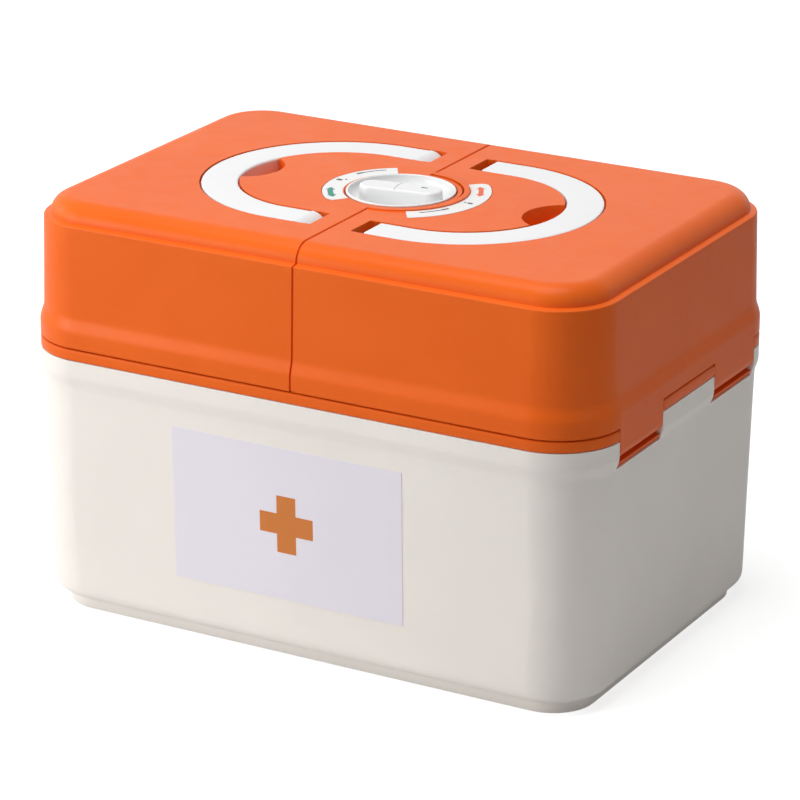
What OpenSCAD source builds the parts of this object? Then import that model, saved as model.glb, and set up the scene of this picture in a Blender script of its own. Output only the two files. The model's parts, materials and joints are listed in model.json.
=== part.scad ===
// Medicine box with two doors that open sideways, a tray that lifts with each door,
// two ring halves as carrying handles and a turning lock dial between them.
// +X is right, -Y is the front, +Z is up. The origin is on the floor, under the middle.

/* [Bin] */
// Width of the box at its rim
body_w = 300; // [280:1:330]
// Depth of the box at its rim
body_d = 203.4; // [190:0.1:230]
// Corner radius at the rim, seen from above
corner_r = 32; // [28:1:34]
// Height of the bin, from the floor to its rim
bin_h = 128.4; // [115:0.1:150]
// Wall thickness of the bin
bin_wall = 2.5; // [2:0.1:3]
// Thickness of the bin's floor panel
floor_t = 2.5; // [2:0.1:4]
// Height of the plinth under the wall
plinth_h = 6.6; // [5:0.1:9]
// How far the plinth stands in from the foot of the wall
plinth_in = 2.6; // [1:0.1:4]
// How far the wall leans in from the flare down to its foot
bin_draft = 5.5; // [3:0.1:8]
// How far the rim flares out past the wall
flare_out = 3; // [1:0.1:4]
// Height of the straight band at the very rim, above the flare
flare_top = 7; // [5:0.1:8]
// Height of the flare itself
flare_h = 8; // [6:0.1:12]

/* [Rim frame] */
// Height of the frame's band between the bin and the doors
band_h = 5.4; // [4:0.1:8]
// Thickness of the skirt that plugs into the bin
skirt_t = 1.6; // [1.2:0.1:2]
// Gap between the frame and the bin's inner wall
skirt_gap = 0.1; // [0.05:0.05:0.2]

/* [Doors] */
// Height of a door, from its lower edge to its flat top
door_h = 67.6; // [60:0.1:80]
// Wall thickness of the doors
door_wall = 2.4; // [2:0.1:3]
// Gap between the doors and the frame
seam_gap = 0.6; // [0.4:0.1:1]
// Gap between the two doors
door_gap = 1; // [0.6:0.1:2]
// Height of the straight flange at a door's lower edge
flange_h = 6.6; // [5:0.1:9]
// Height over which the wall draws in above the flange
neck_h = 9; // [6:0.1:12]
// How far the wall stands in from the flange
neck_in = 2; // [1:0.1:3]
// How far the wall leans in up to the ledge
door_draft = 1; // [0:0.1:2]
// Distance of the ledge below the flat top
ledge_drop = 9.1; // [7:0.1:12]
// Width of the ledge round the raised top
ledge_w = 3.3; // [2:0.1:5]
// Width of the rounded shoulder of the raised top
shoulder_w = 12.5; // [8:0.1:14]

/* [Hinges] */
// Distance of a hinge tab from the middle of the box
tab_y = 27; // [22:1:32]
// Width of a hinge tab
tab_w = 44; // [30:1:46]
// Radius of the hinge knuckle
knuckle_r = 5.4; // [4.8:0.1:5.8]
// Distance of the hinge pin below the top of the frame
hinge_drop = 9.6; // [9:0.1:11]
// Diameter of the hinge pins
hinge_pin_d = 3; // [2:0.1:4]
// Distance of the frame's pocket floor below the hinge pin
pocket_drop = 6.2; // [6:0.1:7]
// Thickness of the pocket's floor and walls
pocket_wall = 2; // [1.6:0.1:2.5]

/* [Handles] */
// Distance of the ring centres from the middle of the box
ring_x = 33; // [28:1:38]
// Outer radius of a handle ring
ring_r = 65; // [60:0.5:68]
// Width of the handle band
ring_w = 17.5; // [14:0.5:20]
// Thickness of the handle
handle_t = 10; // [8:0.5:11]
// Wall of the handle, which is a channel open below
handle_wall = 2.2; // [1.8:0.1:3]
// How far the handle's inner side leans back towards its underside
handle_draft = 1.1; // [0.9:0.1:1.5]
// Gap round a handle in its pocket
handle_gap = 0.35; // [0.3:0.05:0.6]
// Distance of the handle pivots from the middle of the box
pivot_x = 20; // [19:0.5:23]
// Distance of the handle pivots below the flat top
pivot_drop = 8.5; // [7.5:0.1:9]
// Diameter of the handle pins
handle_pin_d = 3; // [2:0.1:3.4]
// Radius of the finger scoop
scoop_r = 19.7; // [15:0.1:22]
// Distance of the finger scoop's centre from the middle of the box
scoop_x = 85.5; // [80:0.5:90]

/* [Lock dial] */
// Radius of the dial
dial_r = 25.8; // [24:0.1:26]
// Gap round the dial in its cup
dial_gap = 1.2; // [0.8:0.1:1.4]
// Wall of the cup that holds the dial
cup_wall = 1.5; // [1.4:0.1:2]
// Depth of the cup below the flat top
cup_depth = 10; // [9:0.5:12]
// Gap between the cup and the other door
cup_gap = 1; // [0.8:0.1:1.4]
// Width of the collar round the other door's cut-out
collar_w = 2.3; // [1.8:0.1:3]
// How far the collar and the dial stand above the flat top
rim_rise = 0.6; // [0.2:0.1:1]
// Length of the pill-shaped grip
grip_l = 42; // [36:0.5:44]
// Width of the pill-shaped grip
grip_w = 14; // [12:0.5:16]
// Radius of the dial's spindle
spindle_r = 6; // [5:0.1:7]
// Width of the two scale plates
plate_w = 8; // [6:0.5:8.5]
// Thickness of the scale plates
plate_t = 0.8; // [0.5:0.1:1]
// Angle at which the left scale plate starts
left_plate_from = 122; // [110:1:130]
// Angle at which the left scale plate ends
left_plate_to = 235; // [225:1:240]
// Angle at which the right scale plate starts
right_plate_from = -57; // [-65:1:-45]
// Angle at which the right scale plate ends
right_plate_to = 46; // [35:1:60]
// Angle at which the latch hook starts while the doors are free
hook_from = 94; // [92:1:100]
// Angle that the latch hook spans
hook_span = 24; // [15:1:30]

/* [Trays] */
// Height of a tray
tray_h = 35; // [28:1:36]
// Wall thickness of a tray
tray_wall = 2; // [1.5:0.1:2.5]
// Gap between a tray and the middle of the box
tray_mid = 4; // [2:0.5:8]
// Distance of a tray's outer wall from the door pivot that carries it
tray_reach = 36; // [30:1:37]
// Distance of a tray's floor below the door pivot that carries it
tray_drop = 22.5; // [18:0.5:23]
// How far the tray's door pivot lies inboard of the hinge
crank_x = 56.6; // [54:0.1:60]
// How far the tray's door pivot lies above the hinge
crank_z = 15.3; // [15:0.1:18]
// How far an arm's pivots lie inboard of the hinge and the door pivot
arm_x = 30; // [28:0.5:32]
// How far an arm's pivots lie below the hinge and the door pivot
arm_z = 13; // [12:0.5:14]
// Width of a lifting arm at its eyes
arm_w = 10; // [8:0.5:10]
// Width of a lifting arm between its eyes
strap_w = 8; // [6:0.5:8]
// Thickness of a lifting arm
arm_t = 2.3; // [2:0.1:2.4]
// Distance of the arms' outer faces in from the rim
arm_side = 8.5; // [7.5:0.1:10]
// Diameter of the arm and tray pins
link_pin_d = 4; // [3:0.1:5]
// Corner radius of a tray, seen from above
tray_corner = 12; // [8:0.5:16]
// Distance of the tray's dividers below its rim
divider_drop = 8; // [4:0.5:12]

/* [Label] */
// Width of the front label
label_w = 121; // [60:1:140]
// Height of the front label
label_h = 75; // [40:1:85]
// Distance of the label's upper edge below the rim of the bin
label_drop = 22.4; // [20:0.1:30]
// Thickness of the label
label_t = 0.4; // [0.2:0.1:0.6]
// Distance of the label's middle left of the middle of the box
label_left = 1.5; // [0:0.5:10]

/* [Hidden] */
$fn = 64;

// Colours
shell_orange = "#EE6B2D";
shell_white = "#F4F1EC";
tray_white = "#E9ECEC";
steel = "#B9BCBF";
label_tint = "#E4E0EA";

// Small clearances
run_gap = 0.05;
press_gap = 0.01;
face_gap = 0.3;
eps = 0.01;
big = 400;

half_w = body_w / 2;
half_d = body_d / 2;

// Heights
band_top = bin_h + band_h;
door_z = band_top + seam_gap;
top_z = door_z + door_h;
ledge_z = top_z - ledge_drop;

// Inset of the bin's wall below the flare
wall_z = bin_h - flare_top - flare_h;
foot_in = flare_out + bin_draft;

// A smooth run of [inset, height] points between two insets, level at both ends
function ease(in0, z0, in1, z1, steps) = [
    for (k = [0:steps])
        let (t = k / steps)
        [in0 + (in1 - in0) * (1 - cos(180 * t)) / 2, z0 + (z1 - z0) * t]
];

// A quarter ellipse of [inset, height] points that ends flat on top
function dome(in0, z0, run, rise, steps) = [
    for (k = [0:steps])
        let (a = 90 * k / steps)
        [in0 + run * (1 - cos(a)), z0 + rise * sin(a)]
];

// The same outline, moved in by a wall
function moved_in(points, wall) = [for (p = points) [p[0] + wall, p[1]]];

// Outer outline of the bin above its plinth
bin_side = concat(
    [[foot_in + 0.8, plinth_h - 0.9], [foot_in, plinth_h + 0.2]],
    ease(flare_out, wall_z, 0, bin_h - flare_top, 8),
    [[0, bin_h]]
);
bin_outline = concat(
    [[foot_in + plinth_in, 0], [foot_in + plinth_in, plinth_h - 1.6]],
    bin_side
);
floor_z = plinth_h - 0.1;
bin_cavity = concat(
    [[foot_in + bin_wall + 3, floor_z], [foot_in + bin_wall + 0.9, floor_z + 0.9],
     [foot_in + bin_wall - 0.1, floor_z + 3]],
    moved_in(ease(flare_out, wall_z, 0, bin_h - flare_top, 8), bin_wall),
    [[bin_wall, bin_h + 1]]
);

// Outline of the frame's band, with rounded edges
band_outline = [
    [1.1, bin_h], [0.3, bin_h + 0.4], [0, bin_h + 1.1],
    [0, band_top - 0.9], [0.25, band_top - 0.35], [0.8, band_top]
];
skirt_out = bin_wall + skirt_gap;
skirt_in = skirt_out + skirt_t;
skirt_z = bin_h - flare_top + 0.4;

// Outer and inner outline of the doors
wall_in = neck_in + door_draft;
door_outline = concat(
    [[0.5, door_z], [0, door_z + 0.6]],
    ease(0, door_z + flange_h, neck_in, door_z + flange_h + neck_h, 8),
    [[wall_in, ledge_z - 1], [wall_in + 0.3, ledge_z - 0.3], [wall_in + 0.9, ledge_z]],
    dome(wall_in + 0.9 + ledge_w, ledge_z + 0.4, shoulder_w, top_z - ledge_z - 0.4, 10)
);
edge_chamfer = 1;
door_cavity = concat(
    [[door_wall - 2 * edge_chamfer, door_z - edge_chamfer],
     [door_wall, door_z + edge_chamfer]],
    moved_in(ease(0, door_z + flange_h, neck_in, door_z + flange_h + neck_h, 8), door_wall),
    [[wall_in + door_wall, ledge_z - door_wall]],
    dome(wall_in + door_wall + ledge_w + 0.6, ledge_z - door_wall + 0.3,
         shoulder_w - 1.5, top_z - ledge_z - 0.3, 8)
);

// Hinges
hinge_x = half_w - knuckle_r;
hinge_z = band_top - hinge_drop;
hinge_pin_r = hinge_pin_d / 2;
tab_end = tab_y + tab_w;
pocket_x = hinge_x - knuckle_r - 0.4;
pocket_z = hinge_z - pocket_drop;
pocket_foot = pocket_z - 2.5;
tab_gap = 0.4;

// Handles
ring_in = ring_r - ring_w;
pivot_z = top_z - pivot_drop;
nose_r = pivot_drop;
lobe_r = handle_pin_d / 2 + 2;
heel = 3;
corner_reach = sqrt(heel * heel + pivot_drop * pivot_drop);
pit_r = corner_reach + 0.4;
slot_x = pivot_x - pit_r;
handle_pin_r = handle_pin_d / 2;
handle_floor = top_z - handle_t - 0.4;
lid_skin = 2;
rib_t = 2;

// Lock
cup_in = dial_r + dial_gap;
cup_r = cup_in + cup_wall;
cutout_r = cup_r + cup_gap;
collar_r = cutout_r + collar_w;
cup_floor_t = 2;
cup_z = top_z - cup_depth - cup_floor_t;
dial_foot = top_z - cup_depth + 0.4;
dial_top = top_z + rim_rise;
collar_z = cup_z + 1.5;
cam_t = 3.3;
cam_top = cup_z - face_gap;
cam_foot = cam_top - cam_t;
cam_hub_r = 12;
hook_gap = 1;
hook_w = 2.5;
hook_h = 5;
drive_w = 8;
washer_t = 1.2;
screw_r = 1.6;
seat_gap = 0.05;
seat_lip = 4;
seat_lip_t = 1.8;
seat_lip_angle = 45;
left_plate_r = cup_r + 0.08;
right_plate_r = collar_r + 0.08;

// Trays and their arms, all from the hinge
door_pivot_x = hinge_x - crank_x;
door_pivot_z = hinge_z + crank_z;
arm_foot_x = hinge_x - arm_x;
arm_foot_z = hinge_z - arm_z;
arm_head_x = door_pivot_x - arm_x;
arm_head_z = door_pivot_z - arm_z;
arm_l = sqrt(crank_x * crank_x + crank_z * crank_z);
arm_angle = atan2(crank_z, -crank_x);
link_r = link_pin_d / 2;
head_r = link_r + 1.3;
head_t = 0.8;
boss_r = 5;
boss_t = 5;
tray_edge = 0.8;
tray_x = door_pivot_x + tray_reach;
tray_z = door_pivot_z - tray_drop;
tray_w = tray_x - tray_mid;
// The arms swing between the tray's end wall and the bin, at the narrowest inner depth they meet
arm_out = half_d - arm_side;
arm_in = arm_out - arm_t;
tray_end = arm_in - face_gap;

// A closed solid with rounded corners whose four sides follow one outline of
// [inset, height] points. Sides and corners share one profile, so that they meet exactly.
module swept_box(outline, w, d, r) {
    foot = outline[0][1];
    head = outline[len(outline) - 1][1];
    x_mid = w / 2 - r;
    y_mid = d / 2 - r;
    x_core = x_mid + 1;
    profile = concat([[0, foot]], [for (p = outline) [r - p[0], p[1]]], [[0, head]]);
    rotate([90, 0, 0])
        linear_extrude(2 * y_mid, center = true)
            polygon([[-x_core, foot], [x_core, foot], [x_core, head], [-x_core, head]]);
    for (turn = [0, 180])
        rotate(turn) {
            translate([x_mid, 0, 0])
                rotate([90, 0, 0])
                    linear_extrude(2 * y_mid, center = true)
                        polygon(profile);
            translate([0, y_mid, 0])
                rotate([90, 0, 90])
                    linear_extrude(2 * x_mid, center = true)
                        polygon(profile);
        }
    for (corner = [[1, 1, 0], [-1, 1, 90], [-1, -1, 180], [1, -1, 270]])
        translate([corner[0] * x_mid, corner[1] * y_mid, 0])
            rotate(corner[2])
                rotate_extrude(angle = 90, $fn = 96)
                    polygon(profile);
}

// A round bar along Y
module rod_y(x, z, r, y0, y1) {
    translate([x, y1, z])
        rotate([90, 0, 0])
            cylinder(r = r, h = y1 - y0);
}

// The same piece at the front and at the rear
module front_and_rear() {
    children();
    mirror([0, 1, 0]) children();
}

// A right-hand piece on the left
module on_left() {
    mirror([1, 0, 0]) children();
}

// A box from its two corners
module block(low, high) {
    translate(low) cube(high - low);
}

// A flat sector of a ring, between two angles less than half a turn apart
module ring_sector(r0, r1, a0, a1, z0, z1) {
    steps = 6;
    fan = concat(
        [[0, 0]],
        [for (k = [0:steps])
            let (a = a0 + (a1 - a0) * k / steps)
            2 * r1 * [cos(a), sin(a)]]
    );
    intersection() {
        difference() {
            translate([0, 0, z0]) cylinder(r = r1, h = z1 - z0, $fn = 96);
            translate([0, 0, z0 - 1]) cylinder(r = r0, h = z1 - z0 + 2, $fn = 96);
        }
        translate([0, 0, z0 - 1])
            linear_extrude(z1 - z0 + 2)
                polygon(fan);
    }
}

// Half a flat ring with two straight legs, from x_end outwards
module ring_bar(r_out, r_in, x_end, z0, z1) {
    difference() {
        intersection() {
            union() {
                translate([ring_x, 0, z0]) cylinder(r = r_out, h = z1 - z0, $fn = 96);
                block([x_end, -r_out, z0], [ring_x, r_out, z1]);
            }
            block([x_end, -big, z0 - 1], [big, big, z1 + 1]);
        }
        translate([ring_x, 0, z0 - 1]) cylinder(r = r_in, h = z1 - z0 + 2, $fn = 96);
        block([x_end - 1, -r_in, z0 - 1], [ring_x, r_in, z1 + 1]);
    }
}

module base_bin() {
    color(shell_white)
    difference() {
        union() {
            difference() {
                swept_box(bin_outline, body_w, body_d, corner_r);
                swept_box(bin_cavity, body_w, body_d, corner_r);
            }
            // bosses for the arm pins
            for (s = [-1, 1])
                front_and_rear()
                    rod_y(s * arm_foot_x, arm_foot_z, boss_r,
                          arm_out + 0.2, half_d - flare_out - bin_wall + 1);
        }
        // hollow under the floor panel, inside the foot ring
        swept_box(
            [[foot_in + plinth_in + 4, -1], [foot_in + plinth_in + 4, floor_z - floor_t]],
            body_w, body_d, corner_r
        );
        // notches for the hinge tabs
        for (s = [-1, 1])
            front_and_rear()
                block([s > 0 ? pocket_x - 5 : -half_w - 1, tab_y, pocket_foot - 0.2],
                      [s > 0 ? half_w + 1 : 5 - pocket_x, tab_end, bin_h + 1]);
        for (s = [-1, 1])
            front_and_rear()
                rod_y(s * arm_foot_x, arm_foot_z, link_r + press_gap, arm_out - 1, arm_out + 2);
    }
}

// Pocket of the frame for one hinge tab, at the right rear
module hinge_pocket() {
    intersection() {
        block([pocket_x - pocket_wall, tab_y + 0.2, pocket_foot],
              [half_w + 1, tab_end - 0.2, pocket_z]);
        swept_box(bin_side, body_w, body_d, corner_r);
    }
    block([pocket_x - pocket_wall, tab_y - pocket_wall, pocket_foot],
          [pocket_x, tab_end + pocket_wall, band_top]);
    for (y = [tab_y - pocket_wall, tab_end])
        intersection() {
            block([pocket_x - pocket_wall, y, pocket_foot],
                  [half_w, y + pocket_wall, bin_h]);
            swept_box(
                concat(
                    [[foot_in + bin_wall, plinth_h]],
                    moved_in(ease(flare_out, wall_z, 0, bin_h - flare_top, 8),
                             bin_wall + skirt_gap),
                    [[bin_wall + skirt_gap, bin_h]]
                ),
                body_w, body_d, corner_r
            );
        }
    for (y = [tab_y - pocket_wall, tab_end])
        block([pocket_x - pocket_wall, y, bin_h], [half_w - 2, y + pocket_wall, band_top]);
}

module rim_frame() {
    color(shell_orange)
    difference() {
        union() {
            difference() {
                union() {
                    swept_box(band_outline, body_w, body_d, corner_r);
                    swept_box([[skirt_out, skirt_z], [skirt_out, band_top - 1]],
                              body_w, body_d, corner_r);
                }
                swept_box([[skirt_in, skirt_z - 1], [skirt_in, band_top + 1]],
                          body_w, body_d, corner_r);
                // the band gives way to the hinge tabs
                for (s = [-1, 1])
                    front_and_rear()
                        block([s > 0 ? pocket_x : -half_w - 1, tab_y, pocket_foot - 1],
                              [s > 0 ? half_w + 1 : -pocket_x, tab_end, band_top + 1]);
            }
            front_and_rear() hinge_pocket();
            on_left() front_and_rear() hinge_pocket();
        }
        for (s = [-1, 1])
            front_and_rear()
                rod_y(s * hinge_x, hinge_z, hinge_pin_r + press_gap,
                      tab_y - pocket_wall - 1, tab_end + pocket_wall + 1);
    }
}

module front_label() {
    tilt = atan(bin_draft / (wall_z - plinth_h - 0.2));
    label_z = bin_h - label_drop - label_h / 2;
    wall_inset = flare_out + (wall_z - label_z) * tan(tilt);
    color(label_tint)
    translate([-label_left, wall_inset - half_d - label_t / 2 - run_gap, label_z])
        rotate([tilt, 0, 0])
            cube([label_w, label_t, label_h], center = true);
}

module right_pins_of_hinges() {
    front_and_rear()
        rod_y(hinge_x, hinge_z, hinge_pin_r, tab_y - pocket_wall, tab_end + pocket_wall);
}

module left_hinge_pins() {
    color(steel) on_left() right_pins_of_hinges();
}

module right_hinge_pins() {
    color(steel) right_pins_of_hinges();
}

module base_arm_pins() {
    color(steel)
    for (s = [-1, 1])
        front_and_rear() {
            rod_y(s * arm_foot_x, arm_foot_z, link_r, arm_in - 0.1 - head_t, arm_out + 2);
            rod_y(s * arm_foot_x, arm_foot_z, head_r, arm_in - 0.1 - head_t, arm_in - 0.1);
        }
}

// One door without what the dial needs, on the right
module door_body() {
    // skin
    difference() {
        intersection() {
            swept_box(door_outline, body_w, body_d, corner_r);
            block([door_gap / 2, -big, 0], [big, big, big]);
        }
        swept_box(door_cavity, body_w, body_d, corner_r);
    }
    // stiffening flange under the top, along the gap between the doors
    for (y = [-1, 1])
        block([door_gap / 2, y > 0 ? ring_r + 6 : -half_d + 22, top_z - 10],
              [door_gap / 2 + rib_t, y > 0 ? half_d - 22 : -ring_r - 6, top_z - 1]);
    // tray of the handle, the pivot cups and the scoop, seen from below
    ring_bar(ring_r + handle_gap + lid_skin, ring_in - handle_gap - lid_skin, slot_x - lid_skin,
             handle_floor - lid_skin, top_z - 1);
    front_and_rear()
        intersection() {
            rod_y(pivot_x, pivot_z, pit_r + lid_skin,
                  ring_in - handle_gap - lid_skin, ring_r + handle_gap + lid_skin);
            block([0, 0, 0], [big, big, top_z - 1]);
        }
    intersection() {
        translate([scoop_x, 0, handle_floor - lid_skin])
            cylinder(r = scoop_r + lid_skin, h = handle_t, $fn = 96);
        translate([ring_x, 0, 0]) cylinder(r = ring_r + 1, h = top_z - 1, $fn = 96);
    }
    // hinge tabs
    front_and_rear() {
        rod_y(hinge_x, hinge_z, knuckle_r, tab_y + tab_gap, tab_end - tab_gap);
        block([half_w - 5, tab_y + tab_gap, hinge_z],
              [half_w, tab_end - tab_gap, door_z + flange_h]);
    }
    // bosses for the tray pins
    front_and_rear()
        rod_y(door_pivot_x, door_pivot_z, boss_r, arm_in, half_d - 1.2);
}

module door_cuts() {
    // handle pocket, open from the slot outwards
    ring_bar(ring_r + handle_gap, ring_in - handle_gap, slot_x, handle_floor, top_z + 1);
    front_and_rear() {
        rod_y(pivot_x, pivot_z, pit_r, ring_in - handle_gap, ring_r + handle_gap);
        rod_y(pivot_x, pivot_z, handle_pin_r + press_gap,
              ring_in - handle_gap - lid_skin - 1, ring_r + handle_gap + lid_skin + 1);
    }
    intersection() {
        translate([scoop_x, 0, handle_floor]) cylinder(r = scoop_r, h = handle_t + 2, $fn = 96);
        translate([ring_x, 0, 0]) cylinder(r = ring_r - 1, h = big, $fn = 96);
    }
    front_and_rear() {
        rod_y(hinge_x, hinge_z, hinge_pin_r + run_gap, tab_y, tab_end);
        rod_y(door_pivot_x, door_pivot_z, link_r + press_gap, arm_in - 1, half_d - 4);
    }
}

module left_lid() {
    color(shell_orange)
    difference() {
        on_left() door_body();
        on_left() door_cuts();
        translate([0, 0, cup_z - 1])
            cylinder(r = cup_r + seat_gap, h = big, $fn = 96);
        left_plate_shape(0.05, top_z - plate_t - 0.05, top_z + 1);
    }
}

// Lip of the cup, which holds it under the left door's top
module seat_lip() {
    foot = top_z - door_wall - press_gap - seat_lip_t;
    ring_sector(cup_in, cup_r + seat_lip, 180 - seat_lip_angle, 180 + seat_lip_angle,
                foot, foot + seat_lip_t);
}

module left_lock_cup() {
    color(shell_orange)
    difference() {
        union() {
            translate([0, 0, cup_z]) cylinder(r = cup_r, h = top_z - cup_z, $fn = 96);
            seat_lip();
        }
        translate([0, 0, cup_z + cup_floor_t]) cylinder(r = cup_in, h = cup_depth + 1, $fn = 96);
        translate([0, 0, cup_z - 1]) cylinder(r = spindle_r + run_gap, h = cup_floor_t + 2);
    }
}

module right_lid() {
    color(shell_orange)
    difference() {
        door_body();
        door_cuts();
        translate([0, 0, collar_z - 1])
            cylinder(r = collar_r + seat_gap, h = big, $fn = 96);
        right_plate_shape(0.05, top_z - plate_t - 0.05, top_z + 1);
    }
}

// Keeper that the latch hooks under, with the raised rim beside the dial
module right_lock_collar() {
    color(shell_orange)
    difference() {
        intersection() {
            translate([0, 0, collar_z])
                cylinder(r = collar_r, h = top_z + rim_rise - collar_z, $fn = 96);
            block([door_gap / 2, -big, 0], [big, big, big]);
        }
        translate([0, 0, collar_z - 1]) cylinder(r = cutout_r, h = cup_depth + 8, $fn = 96);
    }
}

// Outline of the scale plates, grown by a fit
module left_plate_shape(fit, z0, z1) {
    ring_sector(left_plate_r - fit, left_plate_r + plate_w + fit,
                left_plate_from, left_plate_to, z0, z1);
}

module right_plate_shape(fit, z0, z1) {
    ring_sector(right_plate_r - fit, right_plate_r + plate_w + fit,
                right_plate_from, right_plate_to, z0, z1);
}

module left_scale_plate() {
    color(shell_white) left_plate_shape(0, top_z - plate_t, top_z);
}

module right_scale_plate() {
    color(shell_white) right_plate_shape(0, top_z - plate_t, top_z);
}

module handle_pins() {
    front_and_rear()
        rod_y(pivot_x, pivot_z, handle_pin_r,
              ring_in - handle_gap - lid_skin, ring_r + handle_gap + lid_skin);
}

module left_handle_pins() {
    color(steel) on_left() handle_pins();
}

module right_handle_pins() {
    color(steel) handle_pins();
}

module tray_pins() {
    front_and_rear() {
        rod_y(door_pivot_x, door_pivot_z, link_r, tray_end - boss_t - head_t, half_d - 4);
        rod_y(door_pivot_x, door_pivot_z, head_r,
              tray_end - boss_t - head_t, tray_end - boss_t - 0.1);
    }
}

module left_tray_pins() {
    color(steel) on_left() tray_pins();
}

module right_tray_pins() {
    color(steel) tray_pins();
}

// Half a ring with straight legs from x_end, swept from a profile of [radius, height] points
module ring_sweep(profile, x_end) {
    translate([ring_x, 0, 0])
        rotate(-90)
            rotate_extrude(angle = 180, $fn = 128)
                polygon(profile);
    front_and_rear()
        translate([x_end, 0, 0])
            rotate([90, 0, 90])
                linear_extrude(ring_x - x_end)
                    polygon(profile);
}

// Channel-shaped handle with rounded upper edges, its legs ending at x_end
module handle_body(x_end) {
    foot = top_z - handle_t;
    outside = [
        [ring_in + handle_draft, foot], [ring_in, top_z - 1], [ring_in + 0.3, top_z - 0.3],
        [ring_in + 1, top_z], [ring_r - 1, top_z], [ring_r - 0.3, top_z - 0.3],
        [ring_r, top_z - 1], [ring_r - 0.5, foot]
    ];
    hollow = [
        [ring_in + handle_draft + handle_wall, foot - 1],
        [ring_in + 0.3 + handle_wall, top_z - handle_wall],
        [ring_r - 0.3 - handle_wall, top_z - handle_wall],
        [ring_r - 0.5 - handle_wall, foot - 1]
    ];
    difference() {
        ring_sweep(outside, x_end);
        ring_sweep(hollow, pivot_x + pit_r);
    }
    // cross ribs in the channel
    for (a = [-75:30:75])
        translate([ring_x, 0, foot + 0.6])
            rotate(a)
                block([ring_in + 2, -rib_t / 2, 0], [ring_r - 1.5, rib_t / 2, handle_t - 2]);
}

module left_handle() {
    color(shell_white)
    on_left()
        difference() {
            union() {
                handle_body(pivot_x);
                // the legs end in a rounded nose over the pivot
                front_and_rear() {
                    rod_y(pivot_x, pivot_z, lobe_r, ring_in, ring_r);
                    intersection() {
                        rod_y(pivot_x, pivot_z, nose_r, ring_in, ring_r);
                        translate([pivot_x, 0, pivot_z])
                            rotate([90, 0, 0])
                                linear_extrude(2 * big, center = true)
                                    polygon([[0, 0], [eps, big], [-big, big]]);
                    }
                }
            }
            front_and_rear()
                rod_y(pivot_x, pivot_z, handle_pin_r + run_gap, ring_in - 1, ring_r + 1);
        }
}

module right_handle() {
    color(shell_white)
    difference() {
        union() {
            handle_body(pivot_x - heel);
            front_and_rear() rod_y(pivot_x, pivot_z, lobe_r, ring_in, ring_r);
        }
        front_and_rear()
            rod_y(pivot_x, pivot_z, handle_pin_r + run_gap, ring_in - 1, ring_r + 1);
    }
}

module lock_dial() {
    bowl_floor = dial_top - 8;
    rim = 1.3;
    bowl = [
        for (k = [0:8])
            let (a = 90 * k / 8)
            [14 + (dial_r - rim - 14) * sin(a), dial_top - 0.3 - (dial_top - 0.3 - bowl_floor) * cos(a)]
    ];
    grip_r = grip_w / 2;
    color(shell_white)
    difference() {
        union() {
            rotate_extrude($fn = 96)
                polygon(concat(
                    [[0, dial_foot], [dial_r - 1.2, dial_foot], [dial_r, dial_top - 0.5],
                     [dial_r - 0.4, dial_top], [dial_r - rim + 0.3, dial_top]],
                    [for (k = [8:-1:0]) bowl[k]],
                    [[0, bowl_floor]]
                ));
            // pill-shaped grip
            intersection() {
                translate([0, 0, dial_top - grip_r])
                    union() {
                        rotate([0, 90, 0])
                            cylinder(r = grip_r, h = grip_l - grip_w, center = true);
                        for (s = [-1, 1])
                            translate([s * (grip_l / 2 - grip_r), 0, 0]) sphere(r = grip_r);
                    }
                block([-big, -big, dial_foot + 1], [big, big, big]);
            }
            // spindle, square where it drives the cam
            translate([0, 0, cup_z - 0.1]) cylinder(r = spindle_r, h = dial_foot - cup_z + 1);
            translate([-drive_w / 2, -drive_w / 2, cam_foot]) cube([drive_w, drive_w, cam_t + 2]);
        }
        translate([0, 0, cam_foot - 1]) cylinder(r = screw_r + press_gap, h = 8);
    }
}

module latch_cam() {
    hook_in = collar_r + hook_gap;
    hook_out = hook_in + hook_w;
    color(steel)
    difference() {
        union() {
            translate([0, 0, cam_foot]) cylinder(r = cam_hub_r, h = cam_t);
            ring_sector(cam_hub_r - 2, hook_out, hook_from, hook_from + hook_span,
                        cam_foot, cam_top);
            ring_sector(hook_in, hook_out, hook_from, hook_from + hook_span,
                        cam_foot, cam_top + hook_h);
        }
        translate([-drive_w / 2 - 0.1, -drive_w / 2 - 0.1, cam_foot - 1])
            cube([drive_w + 0.2, drive_w + 0.2, cam_t + 2]);
    }
}

module latch_washer() {
    color(steel)
    difference() {
        translate([0, 0, cam_foot - washer_t]) cylinder(r = spindle_r + 1.5, h = washer_t);
        translate([0, 0, cam_foot - washer_t - 1]) cylinder(r = screw_r + 0.2, h = washer_t + 2);
    }
}

module latch_screw() {
    head_foot = cam_foot - washer_t - 2;
    color(steel)
    difference() {
        union() {
            translate([0, 0, head_foot]) cylinder(r = 3.4, h = 2);
            translate([0, 0, head_foot]) cylinder(r = screw_r, h = 8);
        }
        for (a = [0, 90])
            rotate(a)
                translate([-2.2, -0.4, head_foot - 1]) cube([4.4, 0.8, 2]);
    }
}

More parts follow.
